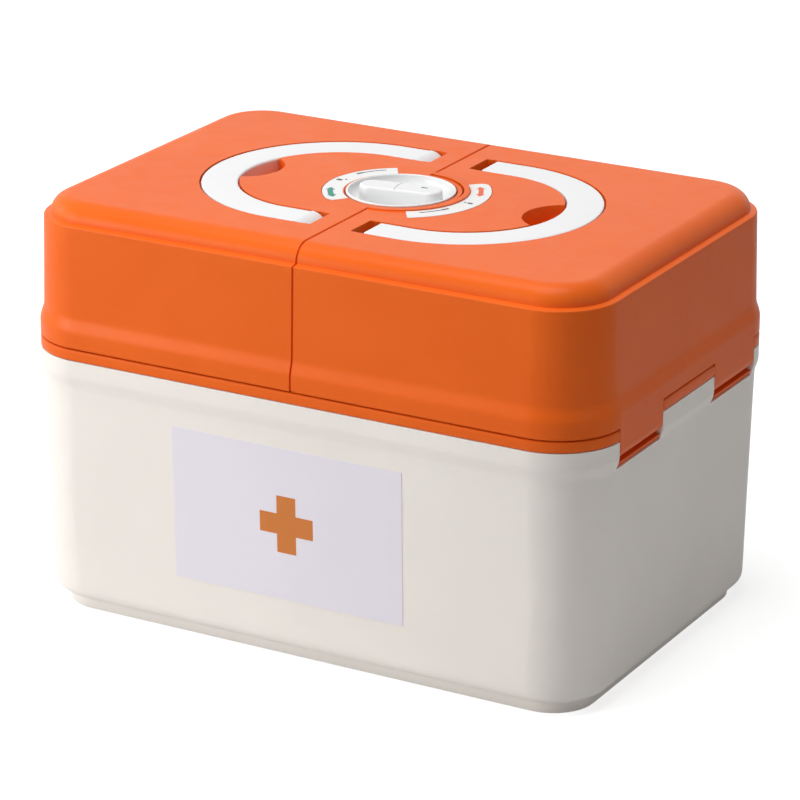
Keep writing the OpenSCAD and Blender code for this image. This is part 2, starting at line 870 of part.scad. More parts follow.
module tray_body() {
    middle = tray_mid + tray_w / 2;
    depth = 2 * tray_end;
    difference() {
        union() {
            difference() {
                translate([middle, 0, 0])
                    swept_box(
                        [[tray_edge, tray_z], [0, tray_z + tray_edge], [0, tray_z + tray_h]],
                        tray_w, depth, tray_corner
                    );
                translate([middle, 0, 0])
                    swept_box(
                        [[tray_wall + tray_edge, tray_z + tray_wall],
                         [tray_wall, tray_z + tray_wall + tray_edge],
                         [tray_wall, tray_z + tray_h + 1]],
                        tray_w, depth, tray_corner
                    );
            }
            // dividers: one along the tray, two across
            block([middle - rib_t / 2, -tray_end + 1, tray_z + 1],
                  [middle + rib_t / 2, tray_end - 1, tray_z + tray_h - divider_drop]);
            for (y = [-tray_end / 3, tray_end / 3])
                block([tray_mid + 1, y - rib_t / 2, tray_z + 1],
                      [tray_x - 1, y + rib_t / 2, tray_z + tray_h - divider_drop]);
            // bosses behind the two pivots in each end wall
            front_and_rear() {
                rod_y(door_pivot_x, door_pivot_z, boss_r, tray_end - boss_t, tray_end - 0.5);
                rod_y(arm_head_x, arm_head_z, boss_r, tray_end - boss_t, tray_end - 0.5);
            }
        }
        front_and_rear() {
            rod_y(door_pivot_x, door_pivot_z, link_r + run_gap,
                  tray_end - boss_t - 1, tray_end + 1);
            rod_y(arm_head_x, arm_head_z, link_r + press_gap,
                  tray_end - boss_t + 1, tray_end + 1);
        }
    }
}

module left_tray() {
    color(tray_white) on_left() tray_body();
}

module right_tray() {
    color(tray_white) tray_body();
}

module link_pins() {
    front_and_rear() {
        rod_y(arm_head_x, arm_head_z, link_r, tray_end - boss_t + 1, arm_out + 0.1 + head_t);
        rod_y(arm_head_x, arm_head_z, head_r, arm_out + 0.1, arm_out + 0.1 + head_t);
    }
}

module left_link_pins() {
    color(steel) on_left() link_pins();
}

module right_link_pins() {
    color(steel) link_pins();
}

// Lifting arm, at the right rear
module arm() {
    difference() {
        union() {
            rod_y(arm_foot_x, arm_foot_z, arm_w / 2, arm_in, arm_out);
            rod_y(arm_head_x, arm_head_z, arm_w / 2, arm_in, arm_out);
            translate([arm_foot_x, 0, arm_foot_z])
                rotate([0, -arm_angle, 0])
                    block([0, arm_in, -strap_w / 2], [arm_l, arm_out, strap_w / 2]);
        }
        rod_y(arm_foot_x, arm_foot_z, link_r + run_gap, arm_in - 1, arm_out + 1);
        rod_y(arm_head_x, arm_head_z, link_r + run_gap, arm_in - 1, arm_out + 1);
    }
}

module left_front_arm() {
    color(tray_white) on_left() mirror([0, 1, 0]) arm();
}

module left_rear_arm() {
    color(tray_white) on_left() arm();
}

module right_front_arm() {
    color(tray_white) mirror([0, 1, 0]) arm();
}

module right_rear_arm() {
    color(tray_white) arm();
}

base_bin();
rim_frame();
front_label();
left_hinge_pins();
right_hinge_pins();
base_arm_pins();
left_lid();
left_lock_cup();
left_scale_plate();
left_handle_pins();
left_tray_pins();
right_lid();
right_lock_collar();
right_scale_plate();
right_handle_pins();
right_tray_pins();
left_handle();
right_handle();
lock_dial();
latch_cam();
latch_washer();
latch_screw();
left_tray();
left_link_pins();
right_tray();
right_link_pins();
left_front_arm();
left_rear_arm();
right_front_arm();
right_rear_arm();
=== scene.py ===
import json
import math

import bmesh
import bpy
from mathutils import Matrix, Vector


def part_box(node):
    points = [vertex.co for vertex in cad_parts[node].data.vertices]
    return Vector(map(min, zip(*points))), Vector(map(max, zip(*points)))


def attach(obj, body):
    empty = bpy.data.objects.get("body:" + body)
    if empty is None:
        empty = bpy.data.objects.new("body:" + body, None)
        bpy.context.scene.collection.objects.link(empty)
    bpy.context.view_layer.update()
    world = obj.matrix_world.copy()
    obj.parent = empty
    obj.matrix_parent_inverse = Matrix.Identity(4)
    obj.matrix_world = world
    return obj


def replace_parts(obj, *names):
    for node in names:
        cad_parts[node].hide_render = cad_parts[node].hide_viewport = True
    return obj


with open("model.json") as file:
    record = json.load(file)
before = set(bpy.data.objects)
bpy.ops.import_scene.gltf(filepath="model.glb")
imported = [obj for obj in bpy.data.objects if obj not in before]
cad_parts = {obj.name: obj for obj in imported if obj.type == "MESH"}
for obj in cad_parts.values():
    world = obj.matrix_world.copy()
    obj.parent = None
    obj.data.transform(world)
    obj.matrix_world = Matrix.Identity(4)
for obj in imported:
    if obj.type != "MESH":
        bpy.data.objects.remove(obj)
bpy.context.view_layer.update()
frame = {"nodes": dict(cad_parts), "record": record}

# Looks of the medicine box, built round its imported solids. Metres; +X right, +Y back, +Z up.
# Sizes are named in millimetres and turned into metres where a mesh is made.

MM = 0.001
MICRON = 1e-6
TOP_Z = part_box("left_scale_plate")[1].z / MM
DIAL_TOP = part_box("lock_dial")[1].z / MM
DIAL_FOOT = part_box("lock_dial")[0].z / MM
BODY_HALF_W = -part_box("rim_frame")[0].x / MM
BODY_HALF_D = -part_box("rim_frame")[0].y / MM
BODY_CORNER = 32.0

# How far the reshaping cuts reach over the top, and how far ink stands up.
CLEAR_OF_TOP = 1.0
INK_THICKNESS = 0.08 * MM

# How close points are welded, how near a point is to a face to count as on it, and the slack in a height.
WELD = 2 * MICRON
ON_FACE = 0.15
SLACK = 0.01

# Steps along the arcs of the dial's rings, the plates and their corners, the handles and the grip's ends.
RING_STEPS, PLATE_STEPS, CORNER_STEPS, HANDLE_STEPS, GRIP_STEPS = 96, 40, 8, 72, 20

# The bin's side from its plinth up, as insets from the body's outline. The solid leans in 5.5 mm, the
# photograph shows a slighter lean and a rounded foot, and both end in the flare under the rim.
BIN_TOP, PLINTH_TOP, RIM_HEIGHT = 128.4, 6.6, 7.0
FLARE_HEIGHT, FLARE_STEPS = 8.0, 8
BIN_WALL_TOP = BIN_TOP - RIM_HEIGHT - FLARE_HEIGHT
BIN_FOOT = PLINTH_TOP + 0.2
FOOT_INSET, FOOT_SWELL, FOOT_ROUND, FOOT_STEPS = 8.5, 4.5, 5.6, 7
FLARE_SOLID, FLARE_SHOWN = 3.0, 1.7

# The shoulder of the doors' raised top: its inset and width in the solid and here, its foot and height.
SHOULDER_SOLID = {"inset": 7.2, "width": 12.5}
SHOULDER_SHOWN = {"inset": 6.3, "width": 9.4}
SHOULDER_RISE, SHOULDER_STEPS = 8.7, 8
SHOULDER_FOOT = TOP_Z - SHOULDER_RISE

# A door's side below the shoulder, as (height, inset).
DOOR_FOOT = 134.4
DOOR_SIDE = [(DOOR_FOOT, 0.5), (DOOR_FOOT + 0.6, 0.0), (DOOR_FOOT + 6.6, 0.0), (DOOR_FOOT + 11.1, 1.0),
             (DOOR_FOOT + 15.6, 2.0), (TOP_Z - 10.1, 3.0), (TOP_Z - 9.1, 3.9),
             (SHOULDER_FOOT, SHOULDER_SHOWN["inset"])]

# The groove along the top's seam: half its width, its depth, and where the dial's rims begin.
GROOVE_HALF, GROOVE_DEPTH, GROOVE_RISE, GROOVE_END = 1.1, 0.9, 0.3, 34.0

# The lip behind the doors' gap: its foot over the doors', how far each way from the seam it reaches, how
# deep its face and its back lie, and where it ends beside the dial.
LIP_FOOT, LIP_LEFT, LIP_RIGHT, LIP_FACE, LIP_BACK, LIP_END = 0.8, -0.55, 0.46, 0.9, 2.0, 33.0

# Handles: the rings' middles, outer radius and band, where the legs' slots end, the gap round them and
# its depth.
HANDLE_MIDDLE, HANDLE_RING, HANDLE_BAND, HANDLE_END = 33.0, 65.0, 17.5, 14.0
HANDLE_GAP, HANDLE_GAP_DEPTH = 0.7, 2.5

# Scale plates: width, thickness, the gap round them, their pocket's depth, their one rounded corner, and
# how far they stand proud.
PLATE_WIDTH, PLATE_THICK, PLATE_GAP, PLATE_POCKET = 9.6, 0.8, 0.4, 1.0
PLATE_CORNER, PLATE_PROUD = 4.0, 0.04
PLATES = {"left": {"inner": 27.1, "start": 122.0, "end": 235.0},
          "right": {"inner": 32.6, "start": -57.0, "end": 46.0}}

# The cup's rim round the dial and the collar's rim on the other door.
CUP_RIM = {"inner": 26.3, "outer": 27.05, "foot": 193.5, "break": 0.2, "drop": 0.25}
COLLAR_RIM = {"inner": 31.75, "outer": 32.4, "end": 89.0, "depth": 1.0, "rise": 0.6}

# Dial: its radius, its bowl and rim, and its underside as (radius, depth under the rim).
DIAL_RADIUS, DIAL_RIM, BOWL_DEPTH, BOWL_FLOOR, BOWL_STEPS = 25.8, 1.3, 8.0, 14.0, 12
BOWL_LIP = DIAL_TOP - 0.3
DIAL_UNDERSIDE = [(3.9, DIAL_TOP - DIAL_FOOT), (3.9, 10.6), (6.0, 10.6), (6.0, 9.4),
                  (DIAL_RADIUS - 1.2, 9.4), (DIAL_RADIUS, 0.5), (DIAL_RADIUS - 0.15, 0.15),
                  (DIAL_RADIUS - 0.5, 0.0), (DIAL_RADIUS - DIAL_RIM + 0.3, 0.0)]

# The dial's grip: its length, its half widths at foot and head, its rise over the rim, how far its foot
# is sunk into the bowl and its turn. Its rounded head is given as (half width under the head's, depth
# under the top).
GRIP_LENGTH, GRIP_FOOT, GRIP_HEAD, GRIP_RISE, GRIP_SUNK = 42.0, 7.0, 6.3, 1.5, 0.5
GRIP_TURN = math.radians(8.0)
GRIP_TOP = DIAL_TOP + GRIP_RISE
GRIP_ROUND = [(-0.07, 1.2), (0.1, 0.7), (0.35, 0.3), (0.7, 0.08), (1.1, 0.0)]

# The fine line across the grip: a bent bar round a point beside the middle, and its depth.
LINE_CENTRE, LINE_INNER, LINE_OUTER = 15.0, 16.78, 17.22
LINE_START, LINE_END, LINE_DEPTH = 145.0, 215.0, 0.35

# Label: the film's thickness, how far the photograph has it from the solid's place, and the cross.
LABEL_FILM, LABEL_SHIFT, LABEL_DROP = 0.2 * MM, 2.46 * MM, 0.28 * MM
CROSS_ARM, CROSS_BAR = 14.0, 5.0


# Colour and nodes

def linear(hex_colour, alpha=1.0):
    """An sRGB hex colour as linear light."""
    parts = [int(hex_colour[i:i + 2], 16) / 255 for i in (1, 3, 5)]
    lit = [p / 12.92 if p <= 0.04045 else ((p + 0.055) / 1.055) ** 2.4 for p in parts]
    return (*lit, alpha)


def add(tree, kind, links=None, **settings):
    """Adds a node with its own settings; links gives each input a value or another output."""
    node = tree.nodes.new(kind)
    for key, value in settings.items():
        setattr(node, key, value)
    for key, value in (links or {}).items():
        if isinstance(value, bpy.types.NodeSocket):
            tree.links.new(value, node.inputs[key])
        else:
            node.inputs[key].default_value = value
    return node


def blank(name):
    """A new node material with nothing in it."""
    material = bpy.data.materials.new(name)
    material.use_nodes = True
    material.node_tree.nodes.clear()
    return material, material.node_tree


def noise(tree, place, size_mm, detail=2.0, roughness=0.5, distortion=0.0):
    """Noise whose lumps are size_mm across."""
    return add(tree, "ShaderNodeTexNoise",
               {"Vector": place, "Scale": 1000.0 / size_mm, "Detail": detail,
                "Roughness": roughness, "Distortion": distortion}).outputs["Fac"]


def stretch(tree, value, low, high, to_low, to_high):
    """Maps low..high to to_low..to_high and holds the ends."""
    return add(tree, "ShaderNodeMapRange",
               {"Value": value, "From Min": low, "From Max": high,
                "To Min": to_low, "To Max": to_high}).outputs["Result"]


def figure(tree, operation, first, second):
    """One sum, product or the like of two values."""
    return add(tree, "ShaderNodeMath", {0: first, 1: second}, operation=operation).outputs["Value"]


def blend(tree, share, first, second):
    """The first colour, turned by a share into the second."""
    mix = add(tree, "ShaderNodeMix", {"Factor": share, "A": first, "B": second}, data_type="RGBA")
    return mix.outputs["Result"]


# Materials

# Moulded plastic: the size of its scuffs, of its patches of polish and of its drift in colour; the bend
# of the surface, as a cosine, at which an edge starts and ends to wear; the share of the noise that is
# scuffed; where most of a noise lies; and how much rubbing polishes.
SCUFF_MM, PATCH_MM, DRIFT_MM = 3.0, 9.0, 70.0
EDGE_BEND, SCUFF_RANGE, MID_RANGE = (0.995, 0.86), (0.42, 0.66), (0.3, 0.7)
RUB_POLISH = 0.10


def moulded(name, skin, flow, rubbed, rough, ior, grain_mm=0.9, grain_um=6.0,
            sink_mm=45.0, sink_um=60.0, edge_mm=0.45, wear=0.35, gloss=0.5, scatter=0.0,
            patchy=0.035):
    """A moulded plastic. Its colour drifts with the melt's flow, its polish is a little patchy, the mould
    leaves a fine grain, the wall sinks in slow waves, and edges are a little rounded and rubbed paler."""
    material, tree = blank(name)
    place = add(tree, "ShaderNodeTexCoord").outputs["Object"]
    rounded = add(tree, "ShaderNodeBevel", {"Radius": edge_mm * MM}, samples=6).outputs["Normal"]
    face = add(tree, "ShaderNodeNewGeometry").outputs["Normal"]
    bend = add(tree, "ShaderNodeVectorMath", {0: rounded, 1: face}, operation="DOT_PRODUCT")
    scuff = noise(tree, place, SCUFF_MM, detail=4.0, roughness=0.65)
    edge = stretch(tree, bend.outputs["Value"], *EDGE_BEND, 0.0, 1.0)
    worn = figure(tree, "MULTIPLY", edge, stretch(tree, scuff, *SCUFF_RANGE, 0.15, 1.0))
    drift = stretch(tree, noise(tree, place, DRIFT_MM, detail=3.0, distortion=0.6), *MID_RANGE, 0.0, 1.0)
    body = blend(tree, drift, linear(skin), linear(flow))
    colour = blend(tree, figure(tree, "MULTIPLY", worn, wear), body, linear(rubbed))
    patches = noise(tree, place, PATCH_MM, detail=3.0)
    speck = stretch(tree, patches, *MID_RANGE, rough - patchy, rough + patchy)
    polish = figure(tree, "SUBTRACT", speck, figure(tree, "MULTIPLY", worn, RUB_POLISH))
    sink = add(tree, "ShaderNodeBump",
               {"Height": noise(tree, place, sink_mm, detail=1.0), "Strength": 1.0,
                "Distance": sink_um * MICRON, "Normal": rounded})
    grain = add(tree, "ShaderNodeBump",
                {"Height": noise(tree, place, grain_mm, detail=3.0, roughness=0.6), "Strength": 1.0,
                 "Distance": grain_um * MICRON, "Normal": sink.outputs["Normal"]})
    shader = add(tree, "ShaderNodeBsdfPrincipled",
                 {"Base Color": colour, "Roughness": polish, "IOR": ior,
                  "Normal": grain.outputs["Normal"], "Subsurface Weight": scatter,
                  "Subsurface Radius": (0.0012, 0.0009, 0.0007), "Subsurface Scale": 1.0,
                  "Specular IOR Level": gloss})
    add(tree, "ShaderNodeOutputMaterial", {"Surface": shader.outputs["BSDF"]})
    return material


def drawn_steel(name, colour, rough):
    """Drawn and cut steel: fine lines along the draw, which stretch the highlight, and dull spots."""
    material, tree = blank(name)
    place = add(tree, "ShaderNodeTexCoord").outputs["Object"]
    drawn = add(tree, "ShaderNodeMapping", {"Vector": place, "Scale": (1.0, 0.05, 1.0)})
    lines = noise(tree, drawn.outputs["Vector"], 0.25, detail=3.0, roughness=0.7)
    dull = stretch(tree, noise(tree, place, 2.5, detail=3.0), 0.35, 0.7, rough - 0.06, rough + 0.10)
    tone = blend(tree, stretch(tree, lines, *MID_RANGE, 0.0, 1.0), linear(colour), linear("#9DA0A3"))
    bump = add(tree, "ShaderNodeBump", {"Height": lines, "Strength": 1.0, "Distance": 4 * MICRON})
    shader = add(tree, "ShaderNodeBsdfPrincipled",
                 {"Base Color": tone, "Metallic": 1.0, "Roughness": dull,
                  "Normal": bump.outputs["Normal"]})
    add(tree, "ShaderNodeOutputMaterial", {"Surface": shader.outputs["BSDF"]})
    return material


def pad_print(name, ink, thin):
    """Pad-printed ink: a matt film that lies a little unevenly and thins out in pinholes."""
    material, tree = blank(name)
    place = add(tree, "ShaderNodeTexCoord").outputs["Object"]
    holes = stretch(tree, noise(tree, place, 0.35, detail=3.0, roughness=0.7), 0.62, 0.74, 0.0, 0.6)
    colour = blend(tree, holes, linear(ink), linear(thin))
    bump = add(tree, "ShaderNodeBump", {"Height": noise(tree, place, 0.5), "Strength": 1.0,
                                        "Distance": 6 * MICRON})
    shader = add(tree, "ShaderNodeBsdfPrincipled",
                 {"Base Color": colour, "Roughness": 0.55, "IOR": 1.48,
                  "Normal": bump.outputs["Normal"]})
    add(tree, "ShaderNodeOutputMaterial", {"Surface": shader.outputs["BSDF"]})
    return material


# Polypropylene, injection moulded in a lightly sparked mould: satin, with soft wide highlights.
orange_polypropylene = moulded("orange_polypropylene_moulded", "#F36B1E", "#EF661B", "#FF9658",
                               rough=0.36, ior=1.49, gloss=0.14, grain_mm=1.0, grain_um=2.0, wear=0.12,
                               edge_mm=0.3)
# The same polypropylene in white, a warm white because the resin itself is slightly cloudy.
white_polypropylene = moulded("white_polypropylene_moulded", "#FAF4ED", "#F6F0E9", "#FDFAF6",
                              rough=0.42, ior=1.49, gloss=0.3, grain_mm=1.0, grain_um=4.0, wear=0.2,
                              edge_mm=0.3, scatter=0.05)
# ABS, injection moulded in a polished mould: a cleaner, cooler white with a sharper gloss.
white_abs = moulded("white_abs_polished", "#F4F4F4", "#F1F1F2", "#F8F8F8",
                    rough=0.33, ior=1.53, gloss=0.3, grain_mm=0.8, grain_um=0.2, sink_um=8.0, wear=0.15,
                    edge_mm=0.3, patchy=0.01)
# The same white ABS on the dial, given a darker colour as painted shade, so the bowl's shading doesn't
# wash out to white.
dial_abs_painted_shade = moulded("white_abs_dial_painted_shade", "#F1F1F1", "#EDEEEE", "#F6F6F6",
                   rough=0.24, ior=1.53, gloss=0.4, grain_mm=0.8, grain_um=0.2, sink_um=6.0, wear=0.1,
                   edge_mm=0.3, patchy=0.01)
# ABS inlay from a matt mould, so that the printed marks on it read without glare.
matt_abs = moulded("white_abs_matt_inlay", "#F4F3F1", "#F0EFED", "#FAFAF9",
                   rough=0.55, ior=1.53, grain_mm=0.5, grain_um=5.0, sink_um=10.0, edge_mm=0.15)
# Polypropylene with no pigment, moulded thin: milky, lets some light into its edges.
frosted_polypropylene = moulded("frosted_polypropylene_tray", "#E9ECEA", "#E2E6E5", "#F3F5F4",
                                rough=0.38, ior=1.49, grain_mm=0.8, grain_um=5.0, scatter=0.35)
# Acetal, moulded and slippery: a waxy, slightly blue white on the arms and the latch.
natural_acetal = moulded("acetal_arm_moulded", "#E8EAEA", "#E1E4E5", "#F2F3F3",
                         rough=0.34, ior=1.48, grain_mm=0.6, grain_um=4.0, edge_mm=0.3, scatter=0.12)
# Vinyl film, cast and matt-laminated: an even pale lilac with hardly any highlight.
lilac_vinyl = moulded("lilac_vinyl_film", "#F0EBF3", "#EDE8F1", "#F6F3F8",
                      rough=0.5, ior=1.52, grain_mm=0.7, grain_um=3.0, sink_um=18.0, edge_mm=0.12)
# Drawn steel rod, cut into pins: grey metal with fine lines along its length.
pin_steel = drawn_steel("drawn_steel_pin", "#C9CBCD", 0.34)
# Pad-printed inks on the two inlays and the label.
green_ink = pad_print("pad_print_green", "#3E8C7D", "#7DB3A8")
orange_ink = pad_print("pad_print_orange", "#E86946", "#F09A80")
dark_ink = pad_print("pad_print_dark", "#3A3B42", "#6A6C72")
cross_ink = pad_print("pad_print_amber", "#D47A2E", "#E5AD80")

FINISH = {
    "orange_shell": orange_polypropylene, "white_shell": white_polypropylene,
    "handle_white": white_abs, "dial_white": dial_abs_painted_shade, "scale_white": matt_abs,
    "tray_plastic": frosted_polypropylene, "arm_plastic": natural_acetal,
    "pin_steel": pin_steel, "label_film": lilac_vinyl,
}


# The solids' surfaces

def smooth_faces(limit_deg):
    """A node group that welds a solid's triangles and shades it smooth, except over sharp edges."""
    tree = bpy.data.node_groups.new("smooth_faces", "GeometryNodeTree")
    tree.interface.new_socket("Geometry", in_out="INPUT", socket_type="NodeSocketGeometry")
    tree.interface.new_socket("Geometry", in_out="OUTPUT", socket_type="NodeSocketGeometry")
    source = add(tree, "NodeGroupInput")
    welded = add(tree, "GeometryNodeMergeByDistance",
                 {"Geometry": source.outputs["Geometry"], "Distance": WELD})
    bend = add(tree, "GeometryNodeInputMeshEdgeAngle").outputs["Unsigned Angle"]
    sharp = add(tree, "FunctionNodeCompare", {"A": bend, "B": math.radians(limit_deg)},
                operation="GREATER_THAN")
    faces = add(tree, "GeometryNodeSetShadeSmooth",
                {"Geometry": welded.outputs["Geometry"], "Shade Smooth": True}, domain="FACE")
    edges = add(tree, "GeometryNodeSetShadeSmooth",
                {"Geometry": faces.outputs["Geometry"], "Selection": sharp.outputs["Result"],
                 "Shade Smooth": False}, domain="EDGE")
    add(tree, "NodeGroupOutput", {"Geometry": edges.outputs["Geometry"]})
    return tree


SMOOTHING = smooth_faces(28.0)


def finish(piece, material):
    """Gives a piece its material and even shading over its smooth faces."""
    piece.data.materials.clear()
    piece.data.materials.append(material)
    piece.modifiers.new("smooth_faces", "NODES").node_group = SMOOTHING
    piece.modifiers.new("even_corners", "WEIGHTED_NORMAL").keep_sharp = True


def dress_solids():
    """Gives every solid its finish."""
    for part in frame["record"]["subparts"]:
        finish(frame["nodes"][part["node"]], FINISH[part["material_slot"]])


def mount(piece, body):
    """Lets a piece ride on its body."""
    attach(piece, body)
    return piece


# Outlines, in millimetres round the dial's middle

def polar(radius, degrees):
    turn = math.radians(degrees)
    return (radius * math.cos(turn), radius * math.sin(turn))


def sweep(radius, start, end, steps=24, centre_x=0.0):
    """Points along an arc round a middle on the x axis."""
    arc = [polar(radius, start + (end - start) * k / steps) for k in range(steps + 1)]
    return [(x + centre_x, y) for x, y in arc]


def circle(radius):
    return sweep(radius, 0.0, 360.0, RING_STEPS)[:-1]


def bent_bar(inner, outer, start, end):
    """A flat bar bent round the dial."""
    return sweep(outer, start, end) + sweep(inner, end, start)


def bent_arrow(inner, outer, start, end, head_deg, head_mm):
    """A double-headed arrow bent round the dial."""
    middle = (inner + outer) / 2
    first, last = start + head_deg, end - head_deg
    return ([polar(middle, start), polar(outer + head_mm, first)] + sweep(outer, first, last)
            + [polar(outer + head_mm, last), polar(middle, end), polar(inner - head_mm, last)]
            + sweep(inner, last, first) + [polar(inner - head_mm, first)])


def scale_plate_outline(inner, start, end, gap=0.0):
    """A sector of a ring with one rounded outer corner at its end, grown by a gap."""
    corner = PLATE_CORNER + gap
    outer = inner + PLATE_WIDTH + gap
    turn = end - math.degrees(math.asin(corner / (outer - corner)))
    middle = polar(outer - corner, turn)
    rounded = [(middle[0] + x, middle[1] + y)
               for x, y in sweep(corner, turn, end + 90.0, CORNER_STEPS)[1:]]
    return sweep(inner - gap, end, start, PLATE_STEPS) + sweep(outer, start, turn, PLATE_STEPS) + rounded


def handle_outline(way, gap):
    """The plan of a handle half, grown by a gap: half a ring with two straight legs. way is 1 for the
    right half and -1 for the left."""
    outer, inner = HANDLE_RING + gap, HANDLE_RING - HANDLE_BAND - gap
    half = ([(HANDLE_END, -outer)] + sweep(outer, -90, 90, HANDLE_STEPS, HANDLE_MIDDLE)
            + [(HANDLE_END, outer), (HANDLE_END, inner)]
            + sweep(inner, 90, -90, HANDLE_STEPS, HANDLE_MIDDLE) + [(HANDLE_END, -inner)])
    return [(x * way, y) for x, y in half]


def turned_with_grip(points):
    """Flat points turned as the grip stands in the dial."""
    turn = Matrix.Rotation(GRIP_TURN, 2)
    return [tuple(turn @ Vector(point)) for point in points]


def pill(half_width):
    """The outline of the grip at one height."""
    straight = GRIP_LENGTH / 2 - GRIP_FOOT
    return turned_with_grip(sweep(half_width, -90.0, 90.0, GRIP_STEPS, straight)
                            + sweep(half_width, 90.0, 270.0, GRIP_STEPS, -straight))


# Meshes

def placed(name, mesh):
    """A new object with the mesh, in the scene."""
    mesh.name = name
    piece = bpy.data.objects.new(name, mesh)
    bpy.context.scene.collection.objects.link(piece)
    return piece


def closed(name, shape):
    """A new object from a finished shape, its faces turned outwards."""
    bmesh.ops.recalc_face_normals(shape, faces=shape.faces)
    mesh = bpy.data.meshes.new(name)
    shape.to_mesh(mesh)
    shape.free()
    return placed(name, mesh)


def plate(name, outlines, thickness, material, lay):
    """A thin piece from flat outlines of (x, y) in millimetres; lay turns a point to its place."""
    shape = bmesh.new()
    for outline in outlines:
        face = shape.faces.new([shape.verts.new((x * MM, y * MM, 0.0)) for x, y in outline])
        raised = bmesh.ops.extrude_face_region(shape, geom=[face])["geom"]
        bmesh.ops.translate(shape, vec=(0, 0, thickness),
                            verts=[v for v in raised if isinstance(v, bmesh.types.BMVert)])
    for vert in shape.verts:
        vert.co = lay(vert.co)
    piece = closed(name, shape)
    piece.data.materials.append(material)
    return piece


def skinned(name, rings, closed_loop=False):
    """A solid through rings of equal numbers of points in space."""
    shape = bmesh.new()
    rows = [[shape.verts.new((x * MM, y * MM, z * MM)) for x, y, z in ring] for ring in rings]
    count = len(rows[0])
    for low, high in zip(rows, rows[1:] + (rows[:1] if closed_loop else [])):
        for k in range(count):
            n = (k + 1) % count
            shape.faces.new((low[k], low[n], high[n], high[k]))
    if not closed_loop:
        shape.faces.new(rows[0])
        shape.faces.new(rows[-1])
    return closed(name, shape)


def lofted(name, rings, closed_loop=False):
    """A solid through level rings of equal numbers of points, each ring at its height."""
    return skinned(name, [[(x, y, z) for x, y in ring] for ring, z in rings], closed_loop)


def prism(name, outline, low, high):
    """A solid over an outline between two heights."""
    return lofted(name, [(outline, low), (outline, high)])


def welded_copy(name, node):
    """A new object with a welded copy of a solid's mesh."""
    mesh = frame["nodes"][node].data.copy()
    shape = bmesh.new()
    shape.from_mesh(mesh)
    bmesh.ops.remove_doubles(shape, verts=shape.verts, dist=WELD)
    shape.to_mesh(mesh)
    shape.free()
    return placed(name, mesh)


def cut_with(piece, tools):
    """Cuts the piece with each tool, keeps the result as its mesh and clears the tools."""
    for tool in tools:
        step = piece.modifiers.new("cut", "BOOLEAN")
        step.operation = "DIFFERENCE"
        step.solver = "EXACT"
        step.object = tool
    bpy.context.view_layer.update()
    result = bpy.data.meshes.new_from_object(piece.evaluated_get(bpy.context.evaluated_depsgraph_get()))
    result.name = piece.name
    piece.modifiers.clear()
    piece.data = result
    for tool in tools:
        bpy.data.meshes.remove(tool.data)


# The sides' profiles, as insets from the body's rounded rectangle at each height

def along(profile):
    """The inset along a profile of (height, inset) points."""
    def inset(z):
        for (z0, in0), (z1, in1) in zip(profile, profile[1:]):
            if z <= z1:
                return in0 + (in1 - in0) * max(0.0, z - z0) / (z1 - z0)
        return profile[-1][1]
    return inset


def flare(inset):
    """The profile of the flare under the bin's rim."""
    return [(BIN_WALL_TOP + FLARE_HEIGHT * k / FLARE_STEPS,
             inset * (1.0 + math.cos(math.pi * k / FLARE_STEPS)) / 2) for k in range(FLARE_STEPS + 1)]


def rounded_foot():
    """The profile of the quarter round at the bin's foot."""
    turns = [math.pi / 2 * k / FOOT_STEPS for k in range(FOOT_STEPS + 1)]
    return [(BIN_FOOT + FOOT_ROUND * (1.0 - math.cos(turn)), FOOT_INSET - FOOT_SWELL * math.sin(turn))
            for turn in turns]


def shoulder(shape):
    """The inset of a shoulder that starts upright and ends flat."""
    def inset(z):
        rise = min(1.0, max(0.0, (z - SHOULDER_FOOT) / SHOULDER_RISE))
        return shape["inset"] + shape["width"] * (1.0 - math.sqrt(1.0 - rise ** 2))
    return inset


def door_inset(z):
    """The inset of a door's shown side, from its flange to the flat top."""
    return along(DOOR_SIDE)(z) if z < SHOULDER_FOOT else shoulder(SHOULDER_SHOWN)(z)


def move_out(piece, solid_inset, shown_inset, low, high):
    """Moves the points of the outer face between two heights from one inset to another."""
    core_w, core_d = BODY_HALF_W - BODY_CORNER, BODY_HALF_D - BODY_CORNER
    for vert in piece.data.vertices:
        x, y, z = (c / MM for c in vert.co)
        over_x, over_y = max(0.0, abs(x) - core_w), max(0.0, abs(y) - core_d)
        reach = math.hypot(over_x, over_y)
        if (not low <= z <= high or reach == 0.0
                or abs(BODY_CORNER - reach - solid_inset(z)) > ON_FACE):
            continue
        grow = (BODY_CORNER - shown_inset(z)) / reach
        if over_x:
            vert.co.x = math.copysign(core_w + over_x * grow, x) * MM
        if over_y:
            vert.co.y = math.copysign(core_d + over_y * grow, y) * MM


SOLID_SIDE = along([(BIN_FOOT, FOOT_INSET)] + flare(FLARE_SOLID))
SHOWN_SIDE = along(rounded_foot() + flare(FLARE_SHOWN))


# The bin and the doors

def reshape_bin():
    """The bin with the photograph's side, its wall left as it is inside."""
    outer = welded_copy("bin_shell", "base_bin")
    shape = bmesh.new()
    shape.from_mesh(outer.data)
    for z, _ in rounded_foot()[1:]:
        bmesh.ops.bisect_plane(shape, geom=shape.verts[:] + shape.edges[:] + shape.faces[:],
                               plane_co=(0, 0, z * MM), plane_no=(0, 0, 1), dist=0.1 * MICRON)
    shape.to_mesh(outer.data)
    shape.free()
    move_out(outer, SOLID_SIDE, SHOWN_SIDE, BIN_FOOT - SLACK, BIN_WALL_TOP + FLARE_HEIGHT + SLACK)
    finish(outer, white_polypropylene)
    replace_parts(mount(outer, "base"), "base_bin")


